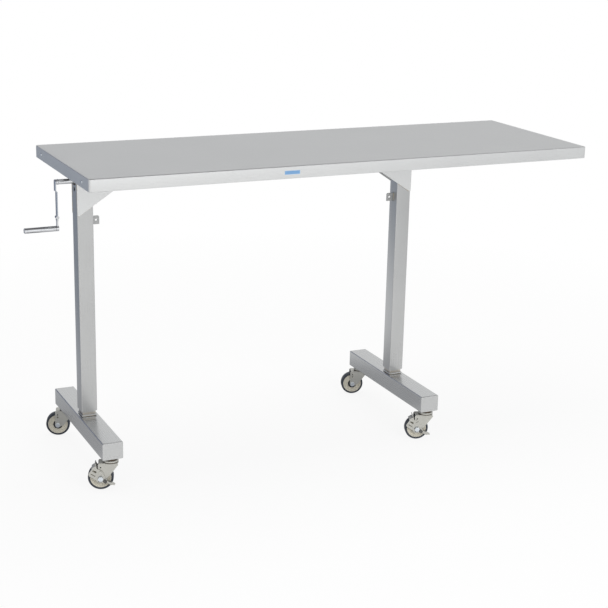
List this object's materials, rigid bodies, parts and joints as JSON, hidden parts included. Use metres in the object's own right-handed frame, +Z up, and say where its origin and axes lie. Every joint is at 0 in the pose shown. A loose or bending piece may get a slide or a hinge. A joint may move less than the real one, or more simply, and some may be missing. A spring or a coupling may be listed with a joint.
{
  "type": "instrument table",
  "caption": "Mobile instrument table: flat steel top with a turned-down rim on two telescopic columns, raised by a folding hand crank, on braked casters.",
  "frame": {"origin": "on the floor, under the middle of the table's overall length, crank included, and of its depth", "axes": "+X along the length, away from the crank; +Y from the braked casters to the others; +Z up"},
  "size_m": [1.629, 0.5204, 0.87],
  "materials": {
    "top_sheet": "satin stainless sheet",
    "sheet_steel": "satin",
    "tube": "satin stainless tube",
    "plate": "satin stainless plate",
    "machined": "machined and oiled",
    "bright": "bright plated",
    "chromed": "polished",
    "zinc": "pale zinc plating",
    "bronze": "plain bearing bronze",
    "pad": "natural nylon",
    "label": "plain blue",
    "hub": "cream moulded",
    "seal": "black sealed bearing",
    "tyre": "dark elastic tread",
    "stop": "black rubber"
  },
  "bodies": {
    "left_base": {"left_beam": "tube", "left_beam_caps": "plate", "left_inner_tube": "tube", "left_stop_collar": "plate", "left_lift_nut": "bronze", "left_upper_pad": "pad", "left_kingpins": "zinc"},
    "table": {"table_top": "top_sheet", "long_channel": "sheet_steel", "cross_channels": "sheet_steel", "left_column": "tube", "right_column": "tube", "gussets": "plate", "gear_plates": "machined", "thrust_bearings": "machined", "shaft_bushes": "bronze", "lower_pads": "pad", "hook_tabs": "plate", "end_screws": "bright", "label_plate": "label"},
    "crank": {"cross_shaft": "chromed", "crank_arm": "chromed", "shaft_gears": "machined"},
    "handle": {"grip_knuckle": "chromed"},
    "grip": {"crank_grip": "chromed"},
    "left_screw": {"left_lift_screw": "machined", "left_screw_gear": "machined"},
    "right_screw": {"right_lift_screw": "machined", "right_screw_gear": "machined"},
    "right_base": {"right_beam": "tube", "right_beam_caps": "plate", "right_inner_tube": "tube", "right_stop_collar": "plate", "right_lift_nut": "bronze", "right_upper_pad": "pad", "right_kingpins": "zinc"},
    "left_front_fork": {"left_front_fork": "zinc", "left_front_axle": "bright"},
    "left_front_wheel": {"left_front_hub": "hub", "left_front_bearings": "seal", "left_front_tyre": "tyre"},
    "left_front_brake": {"left_front_brake": "zinc", "left_front_brake_pad": "stop"},
    "left_back_fork": {"left_back_fork": "zinc", "left_back_axle": "bright"},
    "left_back_wheel": {"left_back_hub": "hub", "left_back_bearings": "seal", "left_back_tyre": "tyre"},
    "right_front_fork": {"right_front_fork": "zinc", "right_front_axle": "bright"},
    "right_front_wheel": {"right_front_hub": "hub", "right_front_bearings": "seal", "right_front_tyre": "tyre"},
    "right_front_brake": {"right_front_brake": "zinc", "right_front_brake_pad": "stop"},
    "right_back_fork": {"right_back_fork": "zinc", "right_back_axle": "bright"},
    "right_back_wheel": {"right_back_hub": "hub", "right_back_bearings": "seal", "right_back_tyre": "tyre"}
  },
  "joints": [
    {"name": "lift", "type": "slide", "parent": "left_base", "child": "table", "axis": [0, 0, 1], "range_m": [0, 0.46]},
    {"name": "crank_turn", "type": "hinge", "parent": "table", "child": "crank", "pos_m": [-0.7095, 0, 0.8143], "axis": [1, 0, 0], "range_deg": [0, 13800]},
    {"name": "left_screw_turn", "type": "hinge", "parent": "table", "child": "left_screw", "pos_m": [-0.6505, 0, 0.8143], "axis": [0, 0, 1], "range_deg": [0, 13800]},
    {"name": "right_screw_turn", "type": "hinge", "parent": "table", "child": "right_screw", "pos_m": [0.3345, 0, 0.8143], "axis": [0, 0, 1], "range_deg": [0, 13800]},
    {"name": "right_lift", "type": "slide", "parent": "table", "child": "right_base", "axis": [0, 0, -1], "range_m": [0, 0.46]},
    {"name": "handle_fold", "type": "hinge", "parent": "crank", "child": "handle", "pos_m": [-0.7226, 0, 0.7173], "axis": [0, 1, 0], "range_deg": [0, 90]},
    {"name": "grip_spin", "type": "hinge", "parent": "handle", "child": "grip", "pos_m": [-0.7261, 0, 0.6863], "axis": [1, 0, 0], "continuous": true},
    {"name": "left_front_swivel", "type": "hinge", "parent": "left_base", "child": "left_front_fork", "pos_m": [-0.6505, -0.214, 0.091], "axis": [0, 0, 1], "continuous": true},
    {"name": "left_front_roll", "type": "hinge", "parent": "left_front_fork", "child": "left_front_wheel", "pos_m": [-0.67587, -0.20477, 0.035], "axis": [0.342, 0.9397, 0], "continuous": true},
    {"name": "left_front_brake", "type": "hinge", "parent": "left_front_fork", "child": "left_front_brake", "pos_m": [-0.67587, -0.20477, 0.053], "axis": [-0.342, -0.9397, 0], "range_deg": [0, 8]},
    {"name": "left_back_swivel", "type": "hinge", "parent": "left_base", "child": "left_back_fork", "pos_m": [-0.6505, 0.214, 0.091], "axis": [0, 0, 1], "continuous": true},
    {"name": "left_back_roll", "type": "hinge", "parent": "left_back_fork", "child": "left_back_wheel", "pos_m": [-0.67587, 0.22323, 0.035], "axis": [0.342, 0.9397, 0], "continuous": true},
    {"name": "right_front_swivel", "type": "hinge", "parent": "right_base", "child": "right_front_fork", "pos_m": [0.3345, -0.214, 0.091], "axis": [0, 0, 1], "continuous": true},
    {"name": "right_front_roll", "type": "hinge", "parent": "right_front_fork", "child": "right_front_wheel", "pos_m": [0.30913, -0.20477, 0.035], "axis": [0.342, 0.9397, 0], "continuous": true},
    {"name": "right_front_brake", "type": "hinge", "parent": "right_front_fork", "child": "right_front_brake", "pos_m": [0.30913, -0.20477, 0.053], "axis": [-0.342, -0.9397, 0], "range_deg": [0, 8]},
    {"name": "right_back_swivel", "type": "hinge", "parent": "right_base", "child": "right_back_fork", "pos_m": [0.3345, 0.214, 0.091], "axis": [0, 0, 1], "continuous": true},
    {"name": "right_back_roll", "type": "hinge", "parent": "right_back_fork", "child": "right_back_wheel", "pos_m": [0.30913, 0.22323, 0.035], "axis": [0.342, 0.9397, 0], "continuous": true}
  ],
  "couplings": [
    {"joint": "right_lift", "follows": "lift", "ratio": 1},
    {"joint": "crank_turn", "follows": "lift", "rad_per_m": 523.59},
    {"joint": "left_screw_turn", "follows": "lift", "rad_per_m": 523.59},
    {"joint": "right_screw_turn", "follows": "lift", "rad_per_m": 523.59}
  ]
}
